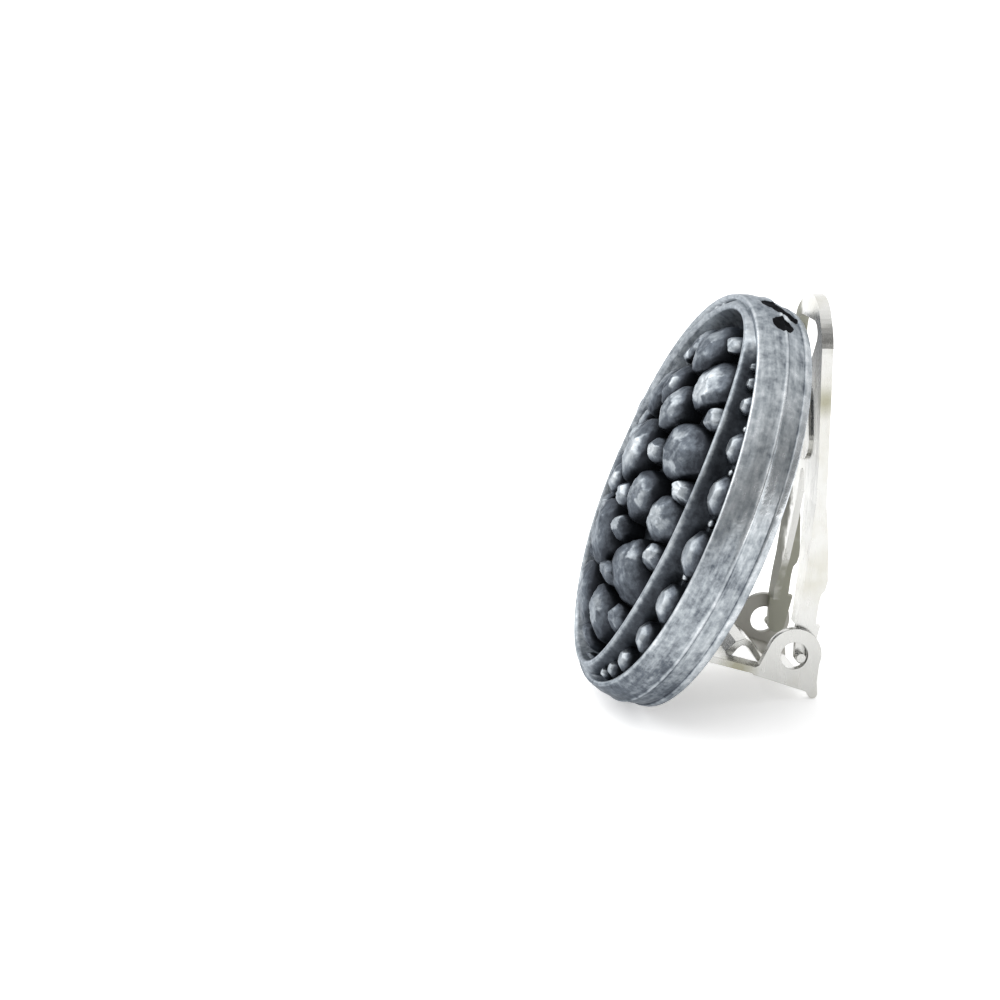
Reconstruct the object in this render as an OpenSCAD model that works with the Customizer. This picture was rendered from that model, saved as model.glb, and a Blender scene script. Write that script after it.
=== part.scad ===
// Round clip-on earring. One moulded disc carries a stamped clip glued to its back.
// It stands leaning back on the disc's lower back edge and on the two feet of the clip.
// Each piece is drawn in the disc's own frame: x to the right, y up the face, z out of the
// front, with the disc's back at z = 0. The stance then leans that frame back.

/* [Disc] */
// Diameter of the disc at its back lip
disc_d = 24; // [20:0.5:28]
// Thickness from the back to the front edge of the rim
disc_t = 3.15; // [2.8:0.05:4]
// Height of the lip round the back edge
lip_h = 0.4; // [0.2:0.05:0.6]
// Bevel of the back edge
lip_bevel = 0.1; // [0.05:0.01:0.15]
// Height of the ledge that parts the two bands of the wall
ledge_h = 1.6; // [1.2:0.1:2.2]
// Distance that the wall swells beyond the lip, at the ledge
wall_swell = 0.2; // [0.1:0.02:0.3]
// Depth of the step on each side of the ledge
ledge_step = 0.07; // [0.04:0.01:0.12]
// Distance of the rim's front edge inside the lip
rim_inset = 0.2; // [0.1:0.05:0.5]
// Rounding of the rim's front edge
rim_round = 0.12; // [0.08:0.02:0.2]

/* [Oval ridge] */
// Width of each crescent, from the ridge's crest to the outside of the rim
crescent_w = 3.45; // [2.6:0.05:4]
// Distance from the ridge's crest to the outside of the rim, at the top and the bottom
ridge_inset = 0.55; // [0.4:0.05:0.9]
// Height of the crest above the disc's back, at the two sides
crest_h = 4.05; // [3.5:0.05:4.6]
// Height that the crest loses towards the top and the bottom
crest_drop = 0.55; // [0:0.05:0.7]
// Width of the flat on the crest
crest_w = 0.3; // [0.2:0.05:0.6]
// Width of the slope outside the crest
slope_w = 0.35; // [0.25:0.05:0.9]
// Width of the hollow inside the crest
cove_w = 1.1; // [0.8:0.05:1.5]
// Angle that the whole relief is turned on the disc, clockwise as its front is seen
relief_turn = 11; // [0:1:20]

/* [Nugget field] */
// Height of the floor round the nuggets above the disc's back
field_floor = 2.2; // [1.6:0.1:2.6]
// Height that this floor swells to in the middle
field_dome = 1.9; // [0.6:0.05:2.2]
// Height of the largest nugget above its floor
nugget_h = 1.85; // [1.2:0.05:2.2]
// Size of each nugget, as a share of its place in the field
nugget_fill = 1.05; // [0.9:0.01:1.08]

/* [Side crescents] */
// Height of the crescents' floor above the disc's back
crescent_floor = 2.5; // [1.8:0.1:2.7]
// Height of the largest mock stone above the crescents' floor
stone_h = 1.05; // [0.5:0.05:1.3]
// Largest radius of the small beads between the stones
bead_r = 0.28; // [0.2:0.02:0.34]

/* [Clip base] */
// Thickness of the clip's sheet metal
sheet_t = 0.4; // [0.3:0.05:0.5]
// Gap that the glue fills between the disc and the clip's pad
glue_gap = 0.05; // [0.02:0.01:0.1]
// Gap between each side of the lever and the ear beside it
ear_gap = 0.1; // [0.06:0.02:0.16]
// Height of the pad that is glued to the disc
pad_h = 8.5; // [7:0.5:11]
// Distance of the leg above the bottom of the disc
leg_inset = 4; // [3:0.1:5]
// Distance of the hinge holes above the leg
hole_rise = 2.2; // [2.1:0.1:2.8]
// Distance of the hinge holes behind the disc's back
hole_back = 6.85; // [6.5:0.05:7.5]
// Radius of the hinge holes
hole_r = 0.8; // [0.7:0.05:0.9]
// Radius of the ears round the hinge holes
ear_r = 1.6; // [1.4:0.05:1.8]
// Radius of the foot at the lower rear corner of each ear
foot_r = 0.28; // [0.22:0.02:0.36]
// Width of the window in the leg
window_w = 4.6; // [3.6:0.1:5]
// Width of the slots beside the spring tongue in the window
slot_w = 0.4; // [0.2:0.05:0.6]
// Height of the spring tongue's curl above the leg
tongue_h = 1.2; // [0.9:0.05:1.3]

/* [Lever] */
// Length from the pivot to the tip
lever_l = 20.3; // [18:0.1:21]
// Width over the lever's flanges
lever_w = 6.3; // [5.8:0.1:6.6]
// Width of the lever's round head
head_w = 5.8; // [5.2:0.1:6.2]
// Gap between the lever's tip and the plane of the disc's back
tip_gap = 0.55; // [0.5:0.05:1.5]
// Depth that the lever bows away from the disc
lever_bow = 0.28; // [0.1:0.02:0.5]
// Depth of the folded flanges at their deepest
flange_deep = 1.4; // [1.2:0.05:1.5]
// Radius of the flanges' round lower ends
heel_r = 0.5; // [0.45:0.01:0.7]
// Distance of these ends behind the pivot
heel_back = 0.26; // [0.15:0.01:0.35]
// Width of each arm beside the lower window
arm_w = 1.2; // [1:0.05:1.5]
// Radius of the lugs that turn in the hinge holes
lug_r = 0.26; // [0.22:0.01:0.32]
// Clearance between the lugs and the rear of their holes
lug_gap = 0.1; // [0.05:0.01:0.15]
// Height of the pressed bead on the lever's web
bead_h = 0.15; // [0.1:0.01:0.2]

/* [Stance] */
// Angle that the disc leans back when it stands
lean = 25; // [21:0.5:27]

/* [Hidden] */
disc_r = disc_d / 2;
front_r = disc_r - rim_inset;
ledge_r = disc_r + wall_swell;
rim_in = front_r - 2 * rim_round;
rim_foot = rim_in - 0.08;
ridge_a = front_r - crescent_w;
ridge_b = front_r - ridge_inset;
round_fn = 72;
nugget_turn = 30;
small = 0.01;

// Half sizes of the oval where the hollow of the ridge ends
field_a = ridge_a - cove_w;
field_b = ridge_b - 1.1 * cove_w;

// The nuggets, as shares of the field's half sizes: centre x and y, half width and half
// height, then how far the foot, the head, the left and the right side are drawn in.
// [x, y, half_w, half_h, foot_in, head_in, left_in, right_in]
NUGGETS = [
    [-0.114, 0.844, 0.236, 0.164, 0.20, 0.10, 0.10, 0.05],
    [-0.495, 0.771, 0.141, 0.115, 0.45, 0.05, 0.05, 0.25],
    [-0.674, 0.662, 0.129, 0.063, 0.15, 0.10, 0.05, 0.50],
    [-0.275, 0.542, 0.152, 0.138, 0.40, 0.10, 0.10, 0.05],
    [-0.666, 0.407, 0.258, 0.170, 0.20, 0.15, 0.25, 0.05],
    [0.086, 0.495, 0.190, 0.149, 0.20, 0.20, 0.05, 0.15],
    [0.368, 0.745, 0.236, 0.162, 0.60, 0.05, 0.15, 0.10],
    [0.195, 0.975, 0.122, 0.060, 0.20, 0.20, 0.25, 0.25],
    [0.652, 0.645, 0.099, 0.077, 0.15, 0.15, 0.20, 0.05],
    [0.59, 0.39, 0.274, 0.175, 0.45, 0.05, 0.15, 0.15],
    [0.259, 0.273, 0.137, 0.077, 0.10, 0.20, 0.15, 0.10],
    [-0.856, 0.16, 0.144, 0.115, 0.15, 0.20, 0.15, 0.20],
    [-0.519, 0.125, 0.152, 0.115, 0.30, 0.45, 0.55, 0.00],
    [-0.103, 0.148, 0.242, 0.209, 0.40, 0.10, 0.15, 0.15],
    [-0.758, -0.166, 0.242, 0.186, 0.20, 0.10, 0.20, 0.10],
    [-0.322, -0.111, 0.152, 0.104, 0.15, 0.15, 0.10, 0.45],
    [0.101, -0.079, 0.118, 0.082, 0.20, 0.20, 0.20, 0.20],
    [0.396, 0.024, 0.186, 0.159, 0.50, 0.00, 0.10, 0.10],
    [0.777, 0.039, 0.182, 0.149, 0.35, 0.10, 0.15, 0.15],
    [0.811, 0.237, 0.122, 0.074, 0.10, 0.15, 0.55, 0.05],
    [0.855, -0.162, 0.110, 0.088, 0.15, 0.15, 0.25, 0.20],
    [0.289, -0.219, 0.118, 0.082, 0.20, 0.15, 0.35, 0.05],
    [-0.416, -0.34, 0.114, 0.110, 0.10, 0.35, 0.15, 0.20],
    [-0.041, -0.37, 0.296, 0.208, 0.15, 0.20, 0.15, 0.15],
    [0.658, -0.333, 0.258, 0.198, 0.05, 0.65, 0.15, 0.10],
    [-0.873, -0.412, 0.084, 0.082, 0.25, 0.15, 0.20, 0.15],
    [-0.647, -0.561, 0.182, 0.149, 0.20, 0.10, 0.25, 0.10],
    [-0.342, -0.561, 0.099, 0.082, 0.10, 0.40, 0.15, 0.15],
    [0.342, -0.485, 0.152, 0.068, 0.00, 0.35, 0.15, 0.15],
    [0.366, -0.73, 0.206, 0.170, 0.30, 0.05, 0.10, 0.15],
    [0.668, -0.636, 0.103, 0.093, 0.35, 0.00, 0.10, 0.20],
    [-0.16, -0.804, 0.281, 0.208, 0.20, 0.10, 0.20, 0.10],
    [-0.54, -0.813, 0.088, 0.077, 0.25, 0.10, 0.10, 0.20],
    [0.158, -0.952, 0.129, 0.082, 0.10, 0.45, 0.20, 0.10],
    [0.419, -0.989, 0.060, 0.019, 0.10, 0.10, 0.10, 0.10],
];

// Sections of a nugget: share of its outline, and share of its height
NUGGET_LEVELS = [[1.00, 0.00], [0.95, 0.50], [0.80, 0.80], [0.45, 1.00]];

// Mock stones of one crescent: the angle from the disc's middle line, then as shares of the
// crescent's width: how far out the stone lies, both at that angle, its half size across the
// crescent and its half size along the crescent, the last one of the width at the middle.
// [angle, out, half_across, half_along]
STONES = [
    [4.8, 0.53, 0.38, 0.43],
    [23.8, 0.53, 0.38, 0.37],
    [38.5, 0.54, 0.37, 0.29],
    [51.5, 0.56, 0.36, 0.17],
    [58.5, 0.60, 0.34, 0.11],
    [64.0, 0.63, 0.32, 0.07],
    [-14.0, 0.53, 0.37, 0.36],
    [-29.6, 0.53, 0.36, 0.27],
    [-44.0, 0.54, 0.35, 0.21],
    [-53.6, 0.54, 0.32, 0.13],
    [-60.6, 0.55, 0.31, 0.10],
];

// Beads in pairs between the stones: the angle, how far out the inner and the outer bead
// lie as above, and their radius as a share of bead_r.
// [angle, inner, outer, size]
BEADS = [
    [14.8, 0.30, 0.82, 1.00],
    [31.9, 0.30, 0.80, 0.92],
    [45.8, 0.32, 0.80, 0.80],
    [-5.3, 0.30, 0.82, 1.00],
    [-22.6, 0.30, 0.80, 0.92],
    [-37.4, 0.32, 0.80, 0.80],
];

// The lever's side profile: distance from the pivot as a share of its length, how far its
// front lies behind the line from pivot to tip as a share of lever_bow, and the depth of its
// flanges as a share of flange_deep.
// [along, bow, depth]
LEVER_PROFILE = [
    [0.088, -1.01, 0.80],
    [0.150, -0.62, 0.78],
    [0.176, -0.41, 0.80],
    [0.190, -0.28, 0.93],
    [0.217, -0.01, 0.96],
    [0.328, 0.59, 0.73],
    [0.437, 0.99, 0.45],
    [0.571, 0.86, 0.42],
    [0.785, 0.05, 0.46],
    [0.944, -0.48, 0.48],
    [1.010, -0.14, 0.48],
];

// Places in the clip, in the disc's frame
leg_y = -disc_r + leg_inset;
hole_y = leg_y + hole_rise;
hole_z = -hole_back;
pivot_y = hole_y;
pivot_z = hole_z - (hole_r - lug_r - lug_gap);
lever_angle = asin((-tip_gap - pivot_z) / lever_l);
base_w = lever_w + 2 * ear_gap + 2 * sheet_t;
foot_z = hole_z - ear_r - 0.35;
back_h = disc_r * cos(lean) - lip_bevel * sin(lean);
foot_y = (foot_r - back_h - foot_z * sin(lean)) / cos(lean);
leg_rise = 0.75;
foot_lean = 0.3;
window_front = -3.7;
window_rear = hole_z + 0.45;

// The front and the rear of what stands; the origin lies under the middle between them
front_y = min(concat(
    [for (t = [0 : 5 : 355]) leaned_y(turned_y(ridge_a * cos(t), ridge_b * sin(t)), crest_top(t))],
    [for (row = NUGGETS) nugget_front(row)]
));
tip_y = pivot_y + lever_l * cos(lever_angle);
tip_depth = flange_deep * LEVER_PROFILE[len(LEVER_PROFILE) - 1][2];
rear_y = leaned_y(
    tip_y + tip_depth * sin(lever_angle),
    -tip_gap - tip_depth * cos(lever_angle)
);

function leaned_y(y, z) = y * sin(lean) - z * cos(lean);
function turned_y(x, y) = y * cos(relief_turn) - x * sin(relief_turn);
function lerp(a, b, t) = a + (b - a) * t;
function crest_top(t) = crest_h - crest_drop * pow(abs(sin(t)), 3);
function ridge_radius(t) = ridge_a * ridge_b / norm([ridge_b * cos(t), ridge_a * sin(t)]);
function crescent_width(t) = rim_foot - ridge_radius(t);

// Point of a nugget's outline at angle t: a squarish round that each side draws in by its
// own share
function nugget_point(t, a, b, row) =
    let (
        c = cos(t),
        s = sin(t),
        x = sign(c) * pow(abs(c), 0.8),
        y = sign(s) * pow(abs(s), 0.8),
        narrow = 1 - (y < 0 ? row[4] : row[5]) * abs(y),
        flat = 1 - (x < 0 ? row[6] : row[7]) * abs(x)
    )
    [a * x * narrow, b * y * flat];

function nugget_a(row) = nugget_fill * row[2] * field_a;
function nugget_b(row) = nugget_fill * row[3] * field_b;
function nugget_rise(row) =
    nugget_h * lerp(0.8, 1, min(1, (nugget_a(row) + nugget_b(row)) / (0.56 * field_a)));
function dome(x, y) = field_dome * max(0, 1 - x * x - y * y);
function dome_slope(share, half) = -2 * field_dome * share / half;

// How far forward a nugget reaches when the disc leans
function nugget_front(row) = min([
    for (level = NUGGET_LEVELS, t = [nugget_turn / 2 : nugget_turn : 359])
        let (
            p = level[0] * nugget_point(t, nugget_a(row), nugget_b(row), row),
            z = field_floor + dome(row[0], row[1]) + level[1] * nugget_rise(row)
                + p[0] * dome_slope(row[0], field_a) + p[1] * dome_slope(row[1], field_b)
        )
        leaned_y(turned_y(row[0] * field_a + p[0], row[1] * field_b + p[1]), z)
]);

module stand() {
    translate([0, -(front_y + rear_y) / 2, back_h])
        rotate([90 - lean, 0, 0])
        children();
}

// Body of revolution: back, wall in two bands, rim and the floor of the crescents
module disc_body() {
    rotate_extrude($fn = round_fn)
        polygon([
            [0, 0],
            [disc_r - lip_bevel, 0],
            [disc_r, lip_bevel],
            [disc_r + 0.2 * wall_swell, lip_h],
            [disc_r + 0.2 * wall_swell - ledge_step, lip_h + ledge_step],
            [disc_r + 0.7 * wall_swell - ledge_step, lerp(lip_h, ledge_h, 0.5)],
            [ledge_r - ledge_step, ledge_h - 2 * ledge_step],
            [ledge_r, ledge_h - ledge_step],
            [ledge_r, ledge_h],
            [ledge_r - ledge_step, ledge_h + ledge_step],
            [lerp(front_r, ledge_r, 0.55), lerp(ledge_h, disc_t, 0.55)],
            [front_r + 0.5 * rim_round, disc_t - 2 * rim_round],
            [front_r, disc_t - rim_round],
            [front_r - 0.3 * rim_round, disc_t - 0.3 * rim_round],
            [front_r - rim_round, disc_t],
            [rim_in, disc_t],
            [rim_foot, crescent_floor],
            [0, crescent_floor],
        ]);
}

// The oval ridge: a rolled crest with a slope outside it and a hollow inside it
module oval_ridge() {
    steps = round_fn;
    function profile(t) =
        let (top = crest_top(t))
        [
            [crest_w / 2 + slope_w, crescent_floor - 0.3],
            [crest_w / 2 + 0.6 * slope_w, lerp(crescent_floor, top, 0.55)],
            [crest_w / 2, top - 0.15],
            [0, top],
            [-crest_w / 2, top - 0.15],
            [-0.45 * cove_w, lerp(field_floor, top, 0.35)],
            [-cove_w, field_floor],
            [-cove_w, field_floor - 0.3],
            [crest_w / 2 + slope_w, field_floor - 0.3],
        ];
    n = len(profile(0));
    points = [
        for (i = [0 : steps - 1])
            let (
                t = 360 * i / steps,
                normal = [cos(t) / ridge_a, sin(t) / ridge_b],
                unit = normal / norm(normal)
            )
            for (p = profile(t))
                [ridge_a * cos(t) + p[0] * unit[0], ridge_b * sin(t) + p[0] * unit[1], p[1]],
    ];
    faces = [
        for (i = [0 : steps - 1])
            for (j = [0 : n - 1])
                [i * n + j, i * n + (j + 1) % n, ((i + 1) % steps) * n + (j + 1) % n, ((i + 1) % steps) * n + j],
    ];
    intersection() {
        polyhedron(points, faces, convexity = 6);
        rotate_extrude($fn = round_fn)
            polygon([
                [0, 0],
                [front_r - 0.02, 0],
                [front_r - 0.02, disc_t - rim_round],
                [ridge_b + 0.05, crest_h + small],
                [0, crest_h + small],
            ]);
    }
}

// Hollow that is sunk inside the ridge, down to the floor round the nuggets
module field_hollow() {
    translate([0, 0, field_floor])
        linear_extrude(height = disc_t)
        polygon([for (t = [0 : 360 / round_fn : 359]) [(ridge_a - 0.6 * cove_w) * cos(t), (ridge_b - 0.6 * cove_w) * sin(t)]]);
}

// The floor between the nuggets, which swells towards the middle
module field_swell() {
    translate([0, 0, field_floor - 0.3])
        hull()
        for (r = [1 : -0.2 : 0.2])
            linear_extrude(height = small + 0.3 + dome(r, 0))
            polygon([for (t = [0 : 7.5 : 359]) [r * field_a * cos(t), r * field_b * sin(t)]]);
}

// One nugget: steep sides, a shoulder and a rounded hammered top, which leans with the floor
module nugget(row) {
    lean_x = dome_slope(row[0], field_a);
    lean_y = dome_slope(row[1], field_b);
    translate([row[0] * field_a, row[1] * field_b, field_floor + dome(row[0], row[1]) - 0.3])
        multmatrix([[1, 0, 0, 0], [0, 1, 0, 0], [lean_x, lean_y, 1, 0], [0, 0, 0, 1]])
        hull()
        for (level = NUGGET_LEVELS)
            linear_extrude(height = small + 0.3 + level[1] * nugget_rise(row))
            polygon([
                for (t = [nugget_turn / 2 : nugget_turn : 359])
                    level[0] * nugget_point(t, nugget_a(row), nugget_b(row), row),
            ]);
}

// One mock stone of a crescent: a flat table with facets round it
module stone(row) {
    width = crescent_width(row[0]);
    across = row[2] * width;
    along = row[3] * crescent_width(0);
    rise = stone_h * lerp(0.55, 1, across / (0.38 * crescent_width(0)));
    rotate([0, 0, row[0]])
        translate([ridge_radius(row[0]) + row[1] * width, 0, crescent_floor - 0.1])
        scale([across, along, 1])
        rotate([0, 0, 22.5]) {
            cylinder(h = 0.1 + 0.55 * rise, r1 = 1.08, r2 = 1, $fn = 8);
            translate([0, 0, 0.1 + 0.55 * rise - small])
                cylinder(h = 0.45 * rise, r1 = 1, r2 = 0.5, $fn = 8);
        }
}

// A pair of beads in the gap between two stones
module bead_pair(row) {
    rotate([0, 0, row[0]])
        for (out = [row[1], row[2]])
            translate([ridge_radius(row[0]) + out * crescent_width(row[0]), 0, crescent_floor + 0.05])
            sphere(r = bead_r * row[3], $fn = 8);
}

module crescent() {
    for (row = STONES) stone(row);
    for (row = BEADS) bead_pair(row);
}

module moulded_disc() {
    color([0.36, 0.40, 0.45])
        stand() {
            difference() {
                disc_body();
                rotate([0, 0, -relief_turn]) field_hollow();
            }
            rotate([0, 0, -relief_turn]) {
                oval_ridge();
                field_swell();
                for (row = NUGGETS) nugget(row);
                crescent();
                mirror([1, 0, 0]) crescent();
            }
        }
}

// Turns a side view, drawn as [z, y], into a sheet that stands across x
module side_sheet(x, thickness) {
    translate([x, 0, 0])
        rotate([0, -90, 0])
        linear_extrude(height = thickness, center = true)
        children();
}

// Side view of an ear: a round about the hole, a straight base and a foot
module ear_outline() {
    foot_top = leg_y + leg_rise + 0.3;
    difference() {
        union() {
            translate([hole_z, hole_y]) circle(r = ear_r, $fn = 48);
            polygon([
                [hole_z + ear_r, hole_y],
                [hole_z + ear_r + 0.1, leg_y + 1],
                [hole_z + ear_r + 0.35, leg_y + leg_rise],
                [hole_z + ear_r + 0.2, leg_y + leg_rise - sheet_t],
                [foot_z + foot_r, leg_y + leg_rise - 0.3],
                [foot_z + foot_lean, foot_top],
                [foot_z + foot_lean - foot_r, foot_top],
                [hole_z - ear_r, hole_y],
            ]);
            hull() {
                translate([foot_z, foot_y]) circle(r = foot_r, $fn = 32);
                translate([foot_z + foot_lean, foot_top]) circle(r = foot_r, $fn = 32);
            }
        }
        translate([hole_z, hole_y]) circle(r = hole_r, $fn = 48);
    }
}

// Pad on the disc's back, with a round upper end
module pad() {
    round_y = leg_y + pad_h - base_w / 2;
    translate([0, 0, -glue_gap - sheet_t]) {
        translate([-base_w / 2, leg_y, 0]) cube([base_w, round_y - leg_y, sheet_t]);
        translate([0, round_y, 0]) cylinder(h = sheet_t, r = base_w / 2, $fn = 48);
    }
}

// Leg that stands off the back and runs on under the hinge
module leg() {
    side_sheet(0, base_w)
        polygon([
            [-glue_gap, leg_y],
            [-glue_gap, leg_y + sheet_t],
            [hole_z + ear_r, leg_y + leg_rise + 0.1],
            [foot_z + foot_r + 0.2, leg_y + leg_rise + 0.2],
            [foot_z + foot_r + 0.2, leg_y + leg_rise + 0.2 - sheet_t],
            [hole_z + ear_r, leg_y + leg_rise + 0.1 - sheet_t],
        ]);
}

// Spring tongue: it rises at the front of the window and curls down to the rear
module tongue() {
    y = leg_y + leg_rise;
    side_sheet(0, window_w - 2 * slot_w)
        polygon([
            [window_front + 0.1, y - 0.35],
            [window_front + 0.1, y],
            [window_front - 0.25, y + 0.6 * tongue_h],
            [window_front - 0.7, y + 0.9 * tongue_h],
            [window_front - 1.2, y + 0.8 * tongue_h],
            [window_rear + 0.35, y + 0.1],
            [window_rear + 0.5, y - 0.15],
            [window_front - 1.1, y + 0.5 * tongue_h],
            [window_front - 0.75, y + 0.6 * tongue_h],
            [window_front - 0.5, y + 0.3 * tongue_h],
            [window_front - 0.25, y - 0.35],
        ]);
}

module clip_base() {
    color([0.78, 0.79, 0.77])
        stand() {
            difference() {
                union() {
                    pad();
                    leg();
                }
                translate([-window_w / 2, leg_y - 1, window_rear])
                    cube([window_w, 3, window_front - window_rear]);
            }
            for (side = [-1, 1]) side_sheet(side * (base_w - sheet_t) / 2, sheet_t) ear_outline();
            tongue();
        }
}

// The lever's own frame has its origin at the pivot, y along the lever and z to the disc.
// Its plan, drawn in from the edge by inset, with a round head
module lever_plan(inset) {
    head_r = head_w / 2;
    half = lever_w / 2 - inset;
    hull() {
        translate([0, lever_l - head_r]) circle(r = head_r - inset, $fn = 64);
        translate([-half, 0.24 * lever_l]) square([2 * half, 0.1]);
    }
    translate([-half, -1.5 * heel_r]) square([2 * half, 0.25 * lever_l + 1.5 * heel_r]);
}

// The two windows: a drop under the head, and a long arch between the arms
module lever_windows() {
    hull() {
        for (side = [-1, 1]) translate([side * 0.2 * head_w, 0.9 * lever_l]) circle(r = 0.7, $fn = 32);
        translate([0, 0.785 * lever_l]) circle(r = 0.2, $fn = 24);
    }
    half = lever_w / 2 - arm_w;
    hull() {
        translate([0, 0.482 * lever_l]) circle(r = 0.45, $fn = 32);
        translate([-half, -2 * heel_r]) square([2 * half, 0.12 * lever_l + 2 * heel_r]);
    }
}

function lever_y(row) = row[0] * lever_l;
function lever_z(row) = -row[1] * lever_bow;

// Slab that follows the lever's front, from up above it to down below it
module lever_slab(up, down) {
    rows = LEVER_PROFILE;
    last = len(rows) - 1;
    side_sheet(0, lever_w + 1)
        polygon(concat(
            [for (row = rows) [lever_z(row) + up, lever_y(row)]],
            [for (i = [last : -1 : 0]) [lever_z(rows[i]) - down, lever_y(rows[i])]]
        ));
}

// Side view of the lever with its flanges and their round heels
module lever_side() {
    rows = LEVER_PROFILE;
    last = len(rows) - 1;
    polygon(concat(
        [for (row = rows) [lever_z(row), lever_y(row)]],
        [for (i = [last : -1 : 0]) [lever_z(rows[i]) - flange_deep * rows[i][2], lever_y(rows[i])]]
    ));
    hull() {
        translate([-heel_back, 0]) circle(r = heel_r, $fn = 48);
        polygon([
            [lever_z(rows[0]), lever_y(rows[0])],
            [lever_z(rows[0]) - flange_deep, lever_y(rows[0])],
            [lever_z(rows[0]) - 0.5 * flange_deep, lever_y(rows[0]) + small],
        ]);
    }
}

// Pressed bead of the web between the windows
module web_bead() {
    intersection() {
        lever_slab(bead_h, sheet_t / 2);
        translate([0, 0, -2]) linear_extrude(height = 4) hull() {
            translate([0, 0.6 * lever_l]) circle(r = 0.24 * head_w, $fn = 32);
            translate([0, 0.7 * lever_l]) circle(r = 0.18 * head_w, $fn = 32);
        }
    }
}

module clip_lever() {
    plate_end = lever_y(LEVER_PROFILE[0]);
    inside = lever_w - 2 * sheet_t;
    color([0.80, 0.81, 0.79])
        stand()
        translate([0, pivot_y, pivot_z])
        rotate([lever_angle, 0, 0]) {
            difference() {
                intersection() {
                    side_sheet(0, lever_w + 1) lever_side();
                    translate([0, 0, -5]) linear_extrude(height = 10) lever_plan(0);
                }
                intersection() {
                    lever_slab(-sheet_t, 4);
                    translate([0, 0, -6]) linear_extrude(height = 12) lever_plan(sheet_t);
                }
                translate([0, 0, -6]) linear_extrude(height = 12) lever_windows();
                translate([-inside / 2, -2 * heel_r, -5]) cube([inside, 2 * heel_r + plate_end, 10]);
            }
            web_bead();
            for (side = [-1, 1])
                translate([side * (lever_w / 2 + (ear_gap + sheet_t) / 2 - small), 0, 0])
                rotate([0, 90, 0])
                cylinder(h = ear_gap + sheet_t, r = lug_r, center = true, $fn = 32);
        }
}

moulded_disc();
clip_base();
clip_lever();
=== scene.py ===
# The looks of a round clip-on earring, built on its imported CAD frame.
# Lengths are in millimetres in the disc's own frame: x to the right, y up the face, z out of
# the front, with the disc's back at z = 0. stand() leans that frame back and puts it in place.
import math
import random

import bpy
from mathutils import Matrix, Vector, noise


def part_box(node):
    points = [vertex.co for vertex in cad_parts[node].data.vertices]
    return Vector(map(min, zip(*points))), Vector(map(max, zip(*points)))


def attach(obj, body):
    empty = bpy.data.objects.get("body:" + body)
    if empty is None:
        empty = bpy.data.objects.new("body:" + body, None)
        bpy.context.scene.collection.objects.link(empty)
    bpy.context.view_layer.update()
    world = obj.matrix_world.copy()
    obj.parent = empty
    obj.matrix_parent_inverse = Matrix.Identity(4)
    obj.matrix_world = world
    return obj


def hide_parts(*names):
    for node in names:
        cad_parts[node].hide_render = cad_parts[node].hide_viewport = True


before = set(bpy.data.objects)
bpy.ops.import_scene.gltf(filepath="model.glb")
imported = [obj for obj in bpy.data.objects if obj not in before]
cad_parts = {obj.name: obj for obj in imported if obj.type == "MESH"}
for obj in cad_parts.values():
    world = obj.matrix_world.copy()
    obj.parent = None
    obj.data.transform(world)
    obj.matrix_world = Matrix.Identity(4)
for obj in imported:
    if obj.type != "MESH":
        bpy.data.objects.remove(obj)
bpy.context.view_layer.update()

MM = 0.001

# Disc, in mm
LEAN = math.radians(25)
DISC_R = 12.0
DISC_T = 3.15
LIP_H = 0.4
LIP_BEVEL = 0.1
LEDGE_H = 1.6
WALL_SWELL = 0.2
LEDGE_STEP = 0.07
RIM_INSET = 0.2
RIM_ROUND = 0.12
LEDGE_R = DISC_R + WALL_SWELL
FRONT_R = DISC_R - RIM_INSET
RIM_IN = FRONT_R - 2 * RIM_ROUND
RIM_FOOT = RIM_IN - 0.08

# Relief on the face
RELIEF_TURN = math.radians(11)
RIDGE_A = FRONT_R - 3.45
RIDGE_B = FRONT_R - 0.55
CREST_H = 4.05
CREST_DROP = 0.55
CREST_W = 0.3
SLOPE_W = 0.35
COVE_W = 1.1
CRESCENT_FLOOR = 2.5
FIELD_FLOOR = 2.2
FIELD_DOME = 1.9
FIELD_A = RIDGE_A - COVE_W
FIELD_B = RIDGE_B - 1.1 * COVE_W
NUGGET_H = 1.85
NUGGET_FILL = 1.05
STONE_H = 1.05
STONE_ACROSS = 0.38
BEAD_R = 0.28

# Camera, read from the photograph's 1000 x 1000 frame
FRAME_PX = 1000
DISC_CENTRE_PX = (711.1, 506.8)
PX_PER_MM = 17.5
EYE_DISTANCE = 120.0
EYE_AZIMUTH = math.radians(77.2)
EYE_ELEVATION = math.radians(15.2)
EYE_ROLL = math.radians(-3.06)

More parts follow.
